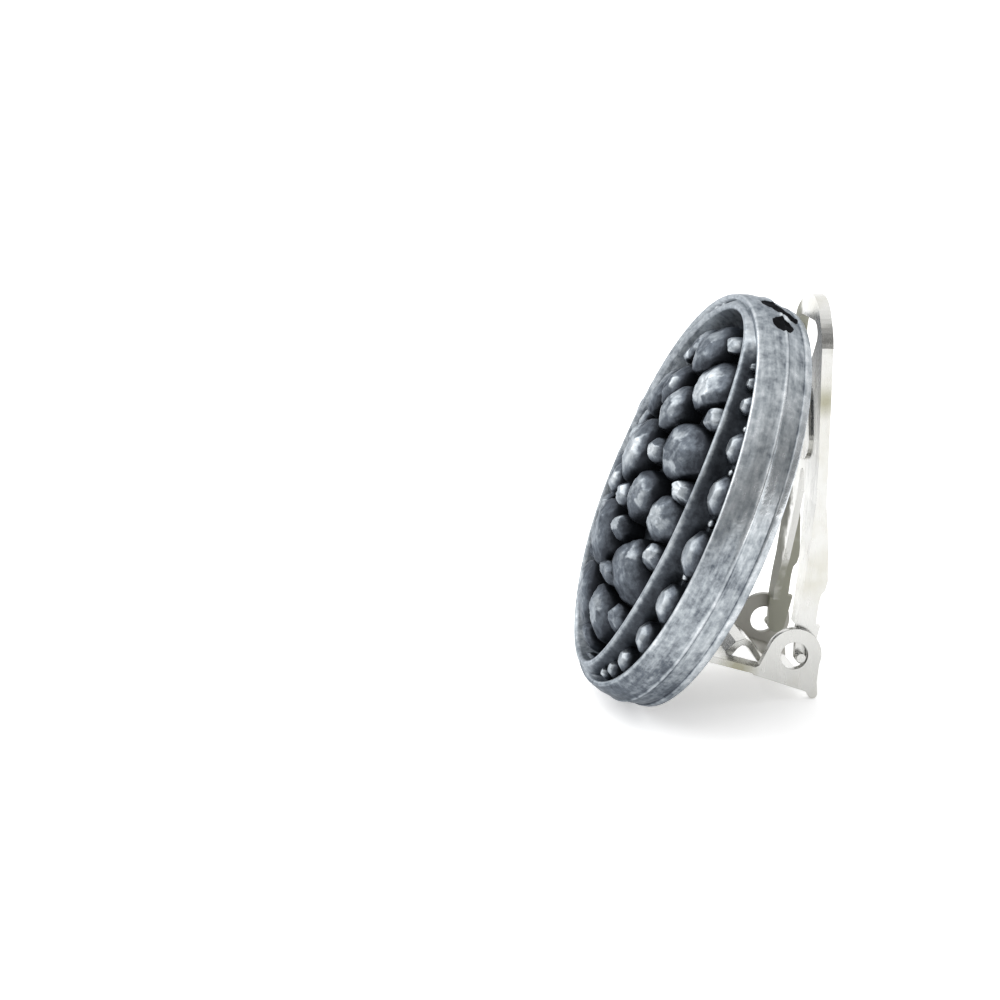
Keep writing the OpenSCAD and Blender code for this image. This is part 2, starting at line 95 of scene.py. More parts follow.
# The nuggets: centre, half width and half height as shares of the field's half sizes, then
# how far the foot, the head, the left and the right side are drawn in.
# [x, y, half_w, half_h, foot_in, head_in, left_in, right_in]
NUGGETS = [
    (-0.114, 0.844, 0.236, 0.164, 0.20, 0.10, 0.10, 0.05),
    (-0.495, 0.771, 0.141, 0.115, 0.45, 0.05, 0.05, 0.25),
    (-0.674, 0.662, 0.129, 0.063, 0.15, 0.10, 0.05, 0.50),
    (-0.275, 0.542, 0.152, 0.138, 0.40, 0.10, 0.10, 0.05),
    (-0.666, 0.407, 0.258, 0.170, 0.20, 0.15, 0.25, 0.05),
    (0.086, 0.495, 0.190, 0.149, 0.20, 0.20, 0.05, 0.15),
    (0.368, 0.745, 0.236, 0.162, 0.60, 0.05, 0.15, 0.10),
    (0.195, 0.975, 0.122, 0.060, 0.20, 0.20, 0.25, 0.25),
    (0.652, 0.645, 0.099, 0.077, 0.15, 0.15, 0.20, 0.05),
    (0.59, 0.39, 0.274, 0.175, 0.45, 0.05, 0.15, 0.15),
    (0.259, 0.273, 0.137, 0.077, 0.10, 0.20, 0.15, 0.10),
    (-0.856, 0.16, 0.144, 0.115, 0.15, 0.20, 0.15, 0.20),
    (-0.519, 0.125, 0.152, 0.115, 0.30, 0.45, 0.55, 0.00),
    (-0.103, 0.148, 0.242, 0.209, 0.40, 0.10, 0.15, 0.15),
    (-0.758, -0.166, 0.242, 0.186, 0.20, 0.10, 0.20, 0.10),
    (-0.322, -0.111, 0.152, 0.104, 0.15, 0.15, 0.10, 0.45),
    (0.101, -0.079, 0.118, 0.082, 0.20, 0.20, 0.20, 0.20),
    (0.396, 0.024, 0.186, 0.159, 0.50, 0.00, 0.10, 0.10),
    (0.777, 0.039, 0.182, 0.149, 0.35, 0.10, 0.15, 0.15),
    (0.811, 0.237, 0.122, 0.074, 0.10, 0.15, 0.55, 0.05),
    (0.855, -0.162, 0.110, 0.088, 0.15, 0.15, 0.25, 0.20),
    (0.289, -0.219, 0.118, 0.082, 0.20, 0.15, 0.35, 0.05),
    (-0.416, -0.34, 0.114, 0.110, 0.10, 0.35, 0.15, 0.20),
    (-0.041, -0.37, 0.296, 0.208, 0.15, 0.20, 0.15, 0.15),
    (0.658, -0.333, 0.258, 0.198, 0.05, 0.65, 0.15, 0.10),
    (-0.873, -0.412, 0.084, 0.082, 0.25, 0.15, 0.20, 0.15),
    (-0.647, -0.561, 0.182, 0.149, 0.20, 0.10, 0.25, 0.10),
    (-0.342, -0.561, 0.099, 0.082, 0.10, 0.40, 0.15, 0.15),
    (0.342, -0.485, 0.152, 0.068, 0.00, 0.35, 0.15, 0.15),
    (0.366, -0.73, 0.206, 0.170, 0.30, 0.05, 0.10, 0.15),
    (0.668, -0.636, 0.103, 0.093, 0.35, 0.00, 0.10, 0.20),
    (-0.16, -0.804, 0.281, 0.208, 0.20, 0.10, 0.20, 0.10),
    (-0.54, -0.813, 0.088, 0.077, 0.25, 0.10, 0.10, 0.20),
    (0.158, -0.952, 0.129, 0.082, 0.10, 0.45, 0.20, 0.10),
    (0.419, -0.989, 0.060, 0.019, 0.10, 0.10, 0.10, 0.10),
]

# Mock stones of one crescent: angle, then shares of the crescent's width: how far out,
# half size across, half size along.
STONES = [
    (4.8, 0.53, 0.38, 0.43),
    (23.8, 0.53, 0.38, 0.37),
    (38.5, 0.54, 0.37, 0.29),
    (51.5, 0.56, 0.36, 0.17),
    (58.5, 0.60, 0.34, 0.11),
    (64.0, 0.63, 0.32, 0.07),
    (-14.0, 0.53, 0.37, 0.36),
    (-29.6, 0.53, 0.36, 0.27),
    (-44.0, 0.54, 0.35, 0.21),
    (-53.6, 0.54, 0.32, 0.13),
    (-60.6, 0.55, 0.31, 0.10),
]

# Beads between the stones: angle, how far out the inner and the outer one lie, size share.
BEADS = [
    (14.8, 0.30, 0.82, 1.00),
    (31.9, 0.30, 0.80, 0.92),
    (45.8, 0.32, 0.80, 0.80),
    (-5.3, 0.30, 0.82, 1.00),
    (-22.6, 0.30, 0.80, 0.92),
    (-37.4, 0.32, 0.80, 0.80),
]

# Placing: the disc's frame in the world, taken from the CAD disc's own box. Its lowest point
# is the front corner of the back's bevel, and its rearmost one is that bevel's rear corner.
disc_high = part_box("moulded_disc")[1]
BACK_H = DISC_R * math.cos(LEAN) - LIP_BEVEL * math.sin(LEAN)
SHIFT_Y = disc_high[1] / MM - (DISC_R - LIP_BEVEL) * math.sin(LEAN)


def stand(x, y, z):
    """A point of the disc's frame, in mm, as a world point in metres."""
    return Vector((
        x,
        SHIFT_Y + y * math.sin(LEAN) - z * math.cos(LEAN),
        BACK_H + y * math.cos(LEAN) + z * math.sin(LEAN),
    )) * MM


def smooth(low, high, value):
    t = min(1.0, max(0.0, (value - low) / (high - low)))
    return t * t * (3 - 2 * t)


def lerp(a, b, t):
    return a + (b - a) * t


def soft_min(values, blend):
    """Smallest of the values, with rounded edges where two of them meet."""
    low = min(values)
    return low - blend * math.log(sum(math.exp((low - v) / blend) for v in values))


def ridge_radius(angle):
    return RIDGE_A * RIDGE_B / math.hypot(RIDGE_B * math.cos(angle), RIDGE_A * math.sin(angle))


def crescent_width(angle):
    return RIM_FOOT - ridge_radius(angle)


def oval(angle, offset):
    """Point at an offset from the crest's line, along the oval's normal."""
    c, s = math.cos(angle), math.sin(angle)
    nx, ny = c / RIDGE_A, s / RIDGE_B
    size = math.hypot(nx, ny)
    return RIDGE_A * c + offset * nx / size, RIDGE_B * s + offset * ny / size


class Shell:
    """Vertices, faces and the masks that the material reads: one lighter where the relief stands
    out and is worn, with painted shade that darkens it towards the disc's bottom; one for black
    patina with painted shade in the hollows, on steep sides and on the back; wall on the turned
    side, and scar where the sprue was broken off. Points are given in the relief's own frame,
    which is turned on the disc."""

    MASKS = ("wear", "soot", "wall", "scar")

    def __init__(self):
        self.points = []
        self.faces = []
        self.masks = {mask: [] for mask in self.MASKS}

    def add(self, x, y, z, **masks):
        c, s = math.cos(RELIEF_TURN), math.sin(RELIEF_TURN)
        self.points.append(stand(x * c + y * s, y * c - x * s, z))
        for mask in self.MASKS:
            self.masks[mask].append(masks.get(mask, 0.0))
        return len(self.points) - 1

    def strip(self, lower, upper, flip=False):
        """Faces between two closed rings of the same length."""
        n = len(lower)
        for i in range(n):
            j = (i + 1) % n
            quad = (lower[i], lower[j], upper[j], upper[i])
            self.faces.append(quad[::-1] if flip else quad)

    def cap(self, ring, centre, flip=False):
        n = len(ring)
        for i in range(n):
            tri = (ring[i], ring[(i + 1) % n], centre)
            self.faces.append(tri[::-1] if flip else tri)

    def build(self, name):
        mesh = bpy.data.meshes.new(name)
        mesh.from_pydata(self.points, [], self.faces)
        for mask, values in self.masks.items():
            layer = mesh.attributes.new(mask, "FLOAT", "POINT")
            layer.data.foreach_set("value", values)
        mesh.polygons.foreach_set("use_smooth", [True] * len(mesh.polygons))
        mesh.validate()
        mesh.update()
        obj = bpy.data.objects.new(name, mesh)
        bpy.context.scene.collection.objects.link(obj)
        return obj


# The wall from back to front: radius, height, wear. The wear column is low on the back: painted shade
# there, as the back lies in shadow, on plain dark metal.
WALL = [
    (DISC_R - LIP_BEVEL - 0.05, 0.0, 0.1),
    (DISC_R - LIP_BEVEL, 0.0, 0.2),
    (DISC_R - 0.3 * LIP_BEVEL, 0.3 * LIP_BEVEL, 0.8),
    (DISC_R, LIP_BEVEL, 0.8),
    (DISC_R + 0.18 * WALL_SWELL, LIP_H - 0.05, 0.85),
    (DISC_R + 0.15 * WALL_SWELL, LIP_H + 0.02, 0.75),
    (DISC_R + 0.2 * WALL_SWELL - LEDGE_STEP, LIP_H + LEDGE_STEP, 0.4),
    (DISC_R + 0.2 * WALL_SWELL - LEDGE_STEP + 0.01, LIP_H + LEDGE_STEP + 0.06, 0.62),
    (DISC_R + 0.7 * WALL_SWELL - LEDGE_STEP, lerp(LIP_H, LEDGE_H, 0.5), 0.7),
    (LEDGE_R - LEDGE_STEP - 0.01, LEDGE_H - 2 * LEDGE_STEP - 0.04, 0.68),
    (LEDGE_R - LEDGE_STEP + 0.01, LEDGE_H - 2 * LEDGE_STEP, 0.5),
    (LEDGE_R - 0.25 * LEDGE_STEP, LEDGE_H - 1.1 * LEDGE_STEP, 0.75),
    (LEDGE_R, LEDGE_H - 0.4 * LEDGE_STEP, 0.85),
    (LEDGE_R - 0.25 * LEDGE_STEP, LEDGE_H + 0.3 * LEDGE_STEP, 0.85),
    (LEDGE_R - LEDGE_STEP, LEDGE_H + LEDGE_STEP + 0.02, 0.6),
    (lerp(FRONT_R, LEDGE_R, 0.55), lerp(LEDGE_H, DISC_T, 0.55), 0.6),
    (FRONT_R + 0.5 * RIM_ROUND, DISC_T - 2 * RIM_ROUND, 0.6),
    (FRONT_R, DISC_T - RIM_ROUND, 0.65),
    (FRONT_R - 0.12 * RIM_ROUND, DISC_T - 0.5 * RIM_ROUND, 0.8),
    (FRONT_R - 0.45 * RIM_ROUND, DISC_T - 0.14 * RIM_ROUND, 0.85),
    (FRONT_R - RIM_ROUND, DISC_T, 0.75),
]

# Scar of the sprue at the top of the wall: arc to the right of the top and height of the
# middle, half size along the arc and half size in height, all in mm
SCAR_PITS = [
    (1.2, 2.0, 0.9, 0.5),
    (1.7, 1.4, 1.1, 0.6),
    (2.3, 0.75, 0.9, 0.45),
    (4.0, 1.6, 1.0, 0.65),
]
SCAR_CHIP = (2.9, 1.3, 0.55, 0.28)

# Painted light and shade on the wall by height, darkest at the bottom and lightest a little
# above the middle: height over the disc's middle in mm, and what is added to the wear
WALL_SHADES = [
    (-12.0, -0.40),
    (-10.0, -0.32),
    (-8.0, -0.20),
    (-5.5, -0.08),
    (-1.5, -0.16),
    (0.5, -0.08),
    (3.0, 0.10),
    (7.0, 0.02),
    (12.0, -0.12),
]


def wall_shade(height):
    """Painted light and shade that the table gives the wall at a height."""
    for (low, shade), (high, next_shade) in zip(WALL_SHADES, WALL_SHADES[1:]):
        if height <= high:
            break
    return lerp(shade, next_shade, (height - low) / (high - low))


def blob(place, arc, height):
    """1 in the middle of a soft oval, 0 outside it."""
    return 1 - smooth(0.55, 1.15, math.hypot((arc - place[0]) / place[2], (height - place[1]) / place[3]))


def wall_rows(step=0.16):
    """The wall's table with rows filled in where two of them lie far apart."""
    rows = [WALL[0]]
    for low, high in zip(WALL, WALL[1:]):
        parts = max(1, math.ceil(math.dist(low[:2], high[:2]) / step))
        rows += [tuple(lerp(a, b, k / parts) for a, b in zip(low, high)) for k in range(1, parts + 1)]
    return rows


def face_angles(segments=288):
    """Angles of the oval's own parameter, and the true angles that they have."""
    turns = [2 * math.pi * i / segments for i in range(segments)]
    return [(t, math.atan2(RIDGE_B * math.sin(t), RIDGE_A * math.cos(t))) for t in turns]


def disc_wall(shell):
    """Back, lip, rear band, ledge, front band and rim, as rings from back to front."""
    previous = None
    for r, z, wear in wall_rows():
        ring = []
        for _, a in face_angles():
            arc = DISC_R * ((math.pi / 2 - a + RELIEF_TURN + math.pi) % (2 * math.pi) - math.pi)
            # Painted light and shade by height on the wall, none on the back
            shade = wall_shade(DISC_R * math.cos(arc / DISC_R)) if z > 0 else 0.0
            chip = blob(SCAR_CHIP, arc, z)
            scar = 0.0
            if z > 0:
                ragged = 0.25 * noise.noise(Vector((arc, z, 3.7)) * 2.2)
                scar = max(blob(pit, arc, z + ragged) for pit in SCAR_PITS) * (1 - chip)
            lump = 0.16 * scar * (0.7 + noise.noise(Vector((arc, z, 8.1)) * 1.9)) - 0.005 * chip
            out = r - lump
            # The back is darkened: plain dark metal with painted shade
            ring.append(shell.add(
                out * math.cos(a), out * math.sin(a), z,
                wear=lerp(max(0, wear + shade), 1, chip), soot=0.0 if z > 0 else 0.6, wall=1.0, scar=scar,
            ))
        if previous:
            shell.strip(previous, ring)
        else:
            # The back's middle is darkened the same way: painted shade on plain dark metal
            shell.cap(ring, shell.add(0, 0, 0, wear=0.1, soot=0.6), flip=True)
        previous = ring
    return previous


def face_station(kind, share, angle, true_angle):
    """Point and the two mask values of one station of the face: on a circle in the rim, on the floor of
    the crescent, on the ridge's slope, crest or cove, or on the field's floor. The deeper the
    station lies, the darker it is made: black patina with painted shade."""
    if kind == "circle":
        drop = 0.0 if share > RIM_IN else 0.03
        return share * math.cos(true_angle), share * math.sin(true_angle), DISC_T - drop, 0.6, 0.0
    pole = abs(math.sin(angle)) ** 3
    top = CREST_H - CREST_DROP * pole
    foot_x, foot_y = oval(angle, CREST_W / 2 + SLOPE_W)
    limit = RIM_FOOT - 0.02
    reach = math.hypot(foot_x, foot_y)
    if reach > limit:
        foot_x, foot_y = foot_x * limit / reach, foot_y * limit / reach
    gap = RIM_FOOT - min(reach, limit)
    sink = smooth(0.02, 0.45, gap)
    floor = lerp(DISC_T - 0.03, CRESCENT_FLOOR, sink)
    if kind == "floor":
        rim_x, rim_y = RIM_FOOT * math.cos(true_angle), RIM_FOOT * math.sin(true_angle)
        x, y = lerp(foot_x, rim_x, share), lerp(foot_y, rim_y, share)
        return x, y, floor, lerp(0.45, 0.2, sink), 0.55 * sink
    if kind == "slope":
        crest_x, crest_y = oval(angle, CREST_W / 2)
        x, y = lerp(crest_x, foot_x, share), lerp(crest_y, foot_y, share)
        dark = sink * smooth(0, 0.3, share)
        wear = lerp(0.6, 0.15, dark)
        return x, y, lerp(top - 0.06, floor, share ** 1.2), wear, 0.55 * dark
    if kind == "crest":
        x, y = oval(angle, share * CREST_W / 2)
        return x, y, top - 0.06 * share * share, 0.66 - 0.25 * abs(share), 0.0
    if kind == "cove":
        x, y = oval(angle, -CREST_W / 2 - share * (COVE_W - CREST_W / 2))
        z = lerp(top - 0.06, FIELD_FLOOR, 1 - (1 - share) ** 2.2)
        return x, y, z, lerp(0.5, 0.25, share), 0.7 * smooth(0.55, 1.0, share)
    x, y = oval(angle, -COVE_W)
    return x * share, y * share, FIELD_FLOOR + FIELD_DOME * (1 - share * share), 0.2, 0.7


def disc_face(shell, rim_ring):
    """From the rim over the crescents' floor, the ridge and its cove to the field's floor."""
    stations = [("circle", FRONT_R - 1.6 * RIM_ROUND), ("circle", RIM_IN), ("circle", RIM_IN - 0.04)]
    stations += [("floor", share) for share in (1.0, 0.93, 0.8, 0.6, 0.4, 0.2, 0.08, 0.0)]
    stations += [("slope", share) for share in (0.88, 0.72, 0.55, 0.38, 0.2, 0.0)]
    stations += [("crest", share) for share in (0.6, 0.2, -0.2, -0.6)]
    stations += [("cove", share) for share in (0.0, 0.05, 0.12, 0.2, 0.3, 0.42, 0.55, 0.7, 0.85, 1.0)]
    stations += [("field", share) for share in (0.96, 0.9, 0.8, 0.7, 0.6, 0.5, 0.4, 0.3, 0.2, 0.1)]
    previous = rim_ring
    for kind, share in stations:
        ring = []
        for angle, true_angle in face_angles():
            x, y, z, wear, soot = face_station(kind, share, angle, true_angle)
            ring.append(shell.add(x, y, z, wear=wear, soot=soot))
        shell.strip(previous, ring)
        previous = ring
    shell.cap(previous, shell.add(0, 0, FIELD_FLOOR + FIELD_DOME, wear=0.2, soot=0.7))


def nugget_outline(angle, a, b, row):
    """Point of a nugget's outline: a squarish round that each side draws in."""
    c, s = math.cos(angle), math.sin(angle)
    x = math.copysign(abs(c) ** 0.8, c)
    y = math.copysign(abs(s) ** 0.8, s)
    narrow = 1 - (row[4] if y < 0 else row[5]) * abs(y)
    flat = 1 - (row[6] if x < 0 else row[7]) * abs(x)
    return a * x * narrow, b * y * flat


# Hammered facets of a nugget: how steep they lie, the height of the top one, and how far up
# the dome reaches that the others touch
FACET_TILT = 0.5
TOP_FACET = 0.95
FACET_DOME = 0.98


def hammered_planes(rng, count):
    """Tangent planes of a shallow dome over the unit disc, at scattered places."""
    tip_x, tip_y = rng.uniform(-0.12, 0.12), rng.uniform(-0.12, 0.12)
    planes = [(tip_x, tip_y, TOP_FACET)]
    turn = rng.uniform(0, 2 * math.pi)
    for k in range(count):
        angle = turn + 2 * math.pi * (k + rng.uniform(-0.28, 0.28)) / count
        out = rng.uniform(0.48, 0.7)
        slope = 2 * FACET_TILT * out * rng.uniform(0.8, 1.25)
        height = FACET_DOME - FACET_TILT * out * out
        planes.append((-slope * math.cos(angle), -slope * math.sin(angle), height + slope * out))
    return planes


def heights(planes, x, y):
    return [px * x + py * y + c for px, py, c in planes]


def domed_rings(shell, outline, height, sizes, segments, tip, flip=False):
    """Rings of a raised form from its outline inwards, closed with a point in the middle."""
    previous = None
    for size in sizes:
        ring = []
        for i in range(segments):
            angle = 2 * math.pi * i / segments
            x, y = outline(angle)
            ring.append(height(size * x, size * y, size))
        if previous:
            shell.strip(previous, ring, flip)
        previous = ring
    shell.cap(previous, tip, flip)


NUGGET_RINGS = (
    1.03, 1.0, 0.993, 0.98, 0.965, 0.945, 0.92, 0.89, 0.855, 0.815, 0.77, 0.72, 0.66, 0.59,
    0.51, 0.43, 0.35, 0.27, 0.19, 0.11,
)


def nugget(shell, row, seed):
    """Steep sides, dark with black patina and painted shade, that round over into a dented top of
    hammered facets.
    """
    rng = random.Random(seed)
    a, b = NUGGET_FILL * row[2] * FIELD_A, NUGGET_FILL * row[3] * FIELD_B
    rise = NUGGET_H * lerp(0.8, 1, min(1, (a + b) / (0.56 * FIELD_A)))
    base = FIELD_FLOOR + FIELD_DOME * max(0, 1 - row[0] ** 2 - row[1] ** 2)
    slope_x, slope_y = -2 * FIELD_DOME * row[0] / FIELD_A, -2 * FIELD_DOME * row[1] / FIELD_B
    big = (a + b) / 2
    planes = hammered_planes(rng, 7 if big > 1.2 else 5 if big > 0.8 else 3)
    # Painted light and shade: facets lighter towards the top of the disc and darker towards its bottom,
    # where less light falls; each facet's tone also differs at random
    painted_light_share = lerp(0.65, 1, smooth(-0.7, 0.1, row[1]))
    tones = [painted_light_share * rng.uniform(0.25, 0.75) for _ in planes]

    def height(ox, oy, size):
        side = -0.2 if size > 1 else (1 - size ** 5) ** 0.55
        facet_heights = heights(planes, ox / a, oy / b)
        top = soft_min(facet_heights, 0.01)
        share = soft_min((side, top), 0.03) if size < 0.99 else side
        spot = Vector((row[0] * FIELD_A + ox, row[1] * FIELD_B + oy, seed))
        share += 0.02 * noise.noise(spot * 1.6) - 0.05 * abs(noise.noise(spot * 2.9))
        z = base + rise * share + ox * slope_x + oy * slope_y
        # Worn facet tops; the lower sides black patina with painted shade
        wear = tones[facet_heights.index(min(facet_heights))] * smooth(0.6, 0.92, share)
        soot = 0.92 * (1 - smooth(0.3, 0.86, share))
        return shell.add(row[0] * FIELD_A + ox, row[1] * FIELD_B + oy, z, wear=wear, soot=soot)

    domed_rings(
        shell, lambda angle: nugget_outline(angle, a, b, row), height, NUGGET_RINGS,
        60 if big > 0.8 else 40, height(0, 0, 0),
    )


def mock_stone(shell, row, side, seed):
    """A moulded stone: a round girdle, eight facets and a table."""
    rng = random.Random(seed)
    angle = math.radians(row[0])
    width = crescent_width(angle)
    across, along = row[2] * width, row[3] * crescent_width(0)
    rise = STONE_H * lerp(0.55, 1, across / (STONE_ACROSS * crescent_width(0)))
    r = ridge_radius(angle) + row[1] * width
    planes = [(rng.uniform(-0.05, 0.05), rng.uniform(-0.05, 0.05), 1.0)]
    for k in range(8):
        turn = math.radians(45 * k + rng.uniform(-5, 5))
        slope = 0.9 * rng.uniform(0.85, 1.15)
        planes.append((-slope * math.cos(turn), -slope * math.sin(turn), 1.0 + 0.46 * slope))

    def height(ux, uy, size):
        girdle = -0.1 if size > 1.03 else 0.62 * (1 - min(1, size / 1.03) ** 12) ** 0.5
        top = soft_min(heights(planes, ux, uy), 0.012)
        share = girdle if size > 0.97 else soft_min((girdle / 0.62 * 1.1, top), 0.02)
        px, py = r + across * ux, along * uy
        x = px * math.cos(angle) - py * math.sin(angle)
        y = px * math.sin(angle) + py * math.cos(angle)
        # Lighter table and facets; the girdle's foot black patina with painted shade
        wear = 0.12 + 0.5 * smooth(0.6, 0.95, share)
        soot = 1 - smooth(0.2, 0.75, share)
        return shell.add(side * x, y, CRESCENT_FLOOR + rise * share, wear=wear, soot=soot)

    domed_rings(
        shell, lambda t: (math.cos(t), math.sin(t)), height,
        (1.08, 1.03, 1.0, 0.96, 0.9, 0.82, 0.73, 0.64, 0.56, 0.5, 0.44, 0.36, 0.26, 0.14),
        40, height(0, 0, 0), side < 0,
    )


def bead(shell, x, y, radius, side):
    """A small half ball between two stones."""
    segments = 16
    centre_z = CRESCENT_FLOOR + 0.05
    previous = None
    for k in range(6):
        tilt = math.radians(-15 + 18 * k)
        ring = []
        for i in range(segments):
            t = 2 * math.pi * i / segments
            px = x + radius * math.cos(tilt) * math.cos(t)
            py = y + radius * math.cos(tilt) * math.sin(t)
            z = centre_z + radius * math.sin(tilt)
            # Lighter top; the foot black patina with painted shade
            ring.append(shell.add(side * px, py, z, wear=0.8 * smooth(1, 4, k), soot=1 - smooth(0, 3, k)))
        if previous:
            shell.strip(previous, ring, flip=side < 0)
        previous = ring
    shell.cap(previous, shell.add(side * x, y, centre_z + radius, wear=0.8), flip=side < 0)


def moulded_disc():
    shell = Shell()
    disc_face(shell, disc_wall(shell))
    for i, row in enumerate(NUGGETS):
        nugget(shell, row, 11 + i)
    for side in (1, -1):
        for i, row in enumerate(STONES):
            mock_stone(shell, row, side, 101 + i + 50 * side)
        for angle, inner, outer, size in BEADS:
            a = math.radians(angle)
            for out in (inner, outer):
                r = ridge_radius(a) + out * crescent_width(a)
                bead(shell, r * math.cos(a), r * math.sin(a), BEAD_R * size, side)
    return shell.build("disc_skin")


# Materials


def new_material(name):
    mat = bpy.data.materials.new(name)
    mat.use_nodes = True
    nodes = mat.node_tree.nodes
    nodes.clear()
    out = nodes.new("ShaderNodeOutputMaterial")
    shader = nodes.new("ShaderNodeBsdfPrincipled")
    mat.node_tree.links.new(shader.outputs[0], out.inputs[0])
    return mat, nodes, mat.node_tree.links, shader


def ramp(nodes, links, factor, stops):
    """A colour ramp; its stops are (place, grey) or (place, (r, g, b))."""
    node = nodes.new("ShaderNodeValToRGB")
    elements = node.color_ramp.elements
    while len(elements) < len(stops):
        elements.new(0.5)
    for element, (place, colour) in zip(elements, stops):
        element.position = place
        element.color = (*colour, 1) if isinstance(colour, tuple) else (colour, colour, colour, 1)
    links.new(factor, node.inputs[0])
    return node.outputs[0]


def math_node(nodes, links, operation, a, b, c=None):
    node = nodes.new("ShaderNodeMath")
    node.operation = operation
    for socket, value in zip(node.inputs, (a, b, c)):
        if isinstance(value, (int, float)):
            socket.default_value = value
        elif value is not None:
            links.new(value, socket)
    return node.outputs[0]


def mix_colour(nodes, links, factor, a, b):
    node = nodes.new("ShaderNodeMix")
    node.data_type = "RGBA"
    for socket, value in ((node.inputs[0], factor), (node.inputs[6], a), (node.inputs[7], b)):
        if isinstance(value, tuple):
            socket.default_value = (*value, 1)
        else:
            links.new(value, socket)
    return node.outputs[2]


def noise_node(nodes, links, vector, scale, detail=4.0, rough=0.55):
    node = nodes.new("ShaderNodeTexNoise")
    node.inputs["Scale"].default_value = scale
    node.inputs["Detail"].default_value = detail
    node.inputs["Roughness"].default_value = rough
    links.new(vector, node.inputs["Vector"])
    return node.outputs[0]


def mapping_node(nodes, links, vector, rotation=(0, 0, 0), scale=(1, 1, 1)):
    node = nodes.new("ShaderNodeMapping")
    node.inputs["Rotation"].default_value = rotation
    node.inputs["Scale"].default_value = scale
    links.new(vector, node.inputs["Vector"])
    return node.outputs[0]


def mask_node(nodes, name):
    node = nodes.new("ShaderNodeAttribute")
    node.attribute_name = name
    return node.outputs["Fac"]


def bump_node(nodes, links, height, strength, distance, normal=None):
    node = nodes.new("ShaderNodeBump")
    node.inputs["Strength"].default_value = strength
    node.inputs["Distance"].default_value = distance
    links.new(height, node.inputs["Height"])
    if normal is not None:
        links.new(normal, node.inputs["Normal"])
    return node.outputs[0]


def gunmetal():
    """Blue-grey metallic paint on plastic: silvery where it stands out and is worn, black patina with
    painted shade in the hollows, on steep sides and on the back, darker towards the bottom as
    painted shade, mottled all over and streaked along the wall."""
    mat, nodes, links, shader = new_material("gunmetal_plastic")
    place = nodes.new("ShaderNodeTexCoord").outputs["Object"]
    # The disc's own frame, and the same drawn out along the wall
    flat = mapping_node(nodes, links, place, rotation=(LEAN - math.pi / 2, 0, 0))
    drawn = mapping_node(nodes, links, flat, scale=(0.16, 0.16, 1))
    wear, soot, wall, scar = (mask_node(nodes, mask) for mask in Shell.MASKS)

    def math2(operation, a, b, c=None):
        return math_node(nodes, links, operation, a, b, c)

    patch = noise_node(nodes, links, place, 700, 3, 0.6)
    mottle = noise_node(nodes, links, place, 2300, 4, 0.65)
    streak = noise_node(nodes, links, drawn, 4200, 3, 0.6)
    tone = math2("MULTIPLY_ADD", math2("SUBTRACT", patch, 0.5), 0.5, wear)
    tone = math2("MULTIPLY_ADD", math2("SUBTRACT", mottle, 0.5), 0.75, tone)
    lines = math2("MULTIPLY", math2("SUBTRACT", streak, 0.5), wall)
    tone = math2("MULTIPLY_ADD", lines, 0.6, tone)
    body = ramp(nodes, links, tone, [
        (0.0, (0.030, 0.034, 0.042)),
        (0.3, (0.105, 0.120, 0.140)),
        (0.6, (0.340, 0.370, 0.395)),
        (0.85, (0.560, 0.590, 0.615)),
        (1.0, (0.740, 0.765, 0.785)),
    ])
    # Black patina with painted shade, from the hollows' mask
    black = math2("MULTIPLY", soot, 0.93)
    body = mix_colour(nodes, links, black, body, (0.008, 0.009, 0.011))
    torn = ramp(nodes, links, math2("MULTIPLY_ADD", math2("SUBTRACT", mottle, 0.5), 0.7, scar), [
        (0.35, 0.0), (0.5, 1.0),
    ])
    body = mix_colour(nodes, links, torn, body, (0.010, 0.010, 0.011))
    links.new(body, shader.inputs["Base Color"])
    shader.inputs["Metallic"].default_value = 0.85
    shader.inputs["Specular Tint"].default_value = (0.55, 0.58, 0.62, 1)
    rough = ramp(nodes, links, tone, [(0.1, 0.38), (0.9, 0.26)])
    dull = math2("MAXIMUM", math2("MULTIPLY", soot, 0.6), math2("MULTIPLY", torn, 0.9))
    links.new(math2("MAXIMUM", rough, dull), shader.inputs["Roughness"])
    normal = bump_node(nodes, links, patch, 0.3, 0.00012)
    normal = bump_node(nodes, links, mottle, 0.45, 0.00004, normal)
    normal = bump_node(nodes, links, streak, 0.15, 0.00003, normal)
    links.new(normal, shader.inputs["Normal"])
    return mat


STAINED = (0.53, 0.52, 0.47)
TARNISHED = (0.30, 0.29, 0.21)
# Per metre: how fast the painted shade grows towards -X, and the tarnished patch ends around its middle
FAR_SHADE_GROWTH = 100
PATCH_FALL = 500


